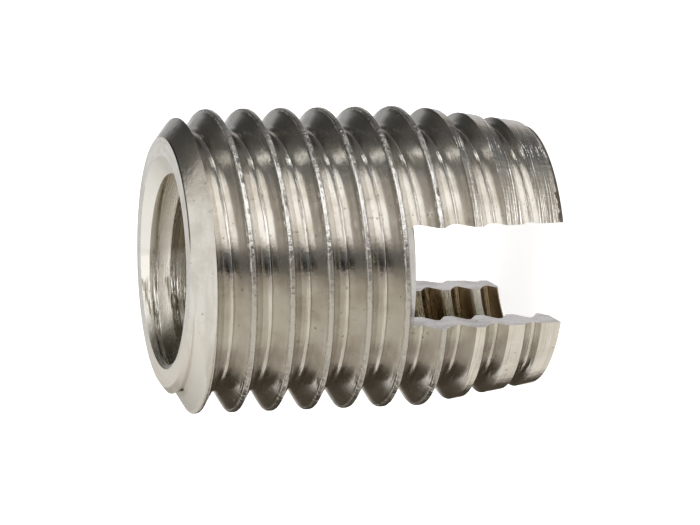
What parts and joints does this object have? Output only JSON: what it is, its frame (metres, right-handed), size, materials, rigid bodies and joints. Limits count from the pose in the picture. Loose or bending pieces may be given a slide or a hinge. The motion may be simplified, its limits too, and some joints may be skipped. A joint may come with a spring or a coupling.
{
  "type": "threaded insert",
  "caption": "Self-tapping threaded insert: a short steel bush with a coarse thread outside, a screw thread inside and a cutting slot across its tapered end.",
  "frame": {"origin": "centre of the slotted end, on the axis, where the part stands", "axes": "+Z along the axis, from the slotted end to the head face; the slot runs along Y; X is across the slot"},
  "size_m": [0.0118, 0.0118, 0.0147],
  "materials": {
    "steel": "turned stainless steel, bright, with fine tool marks"
  },
  "bodies": {
    "root": {"threaded_insert": "steel"}
  },
  "joints": []
}
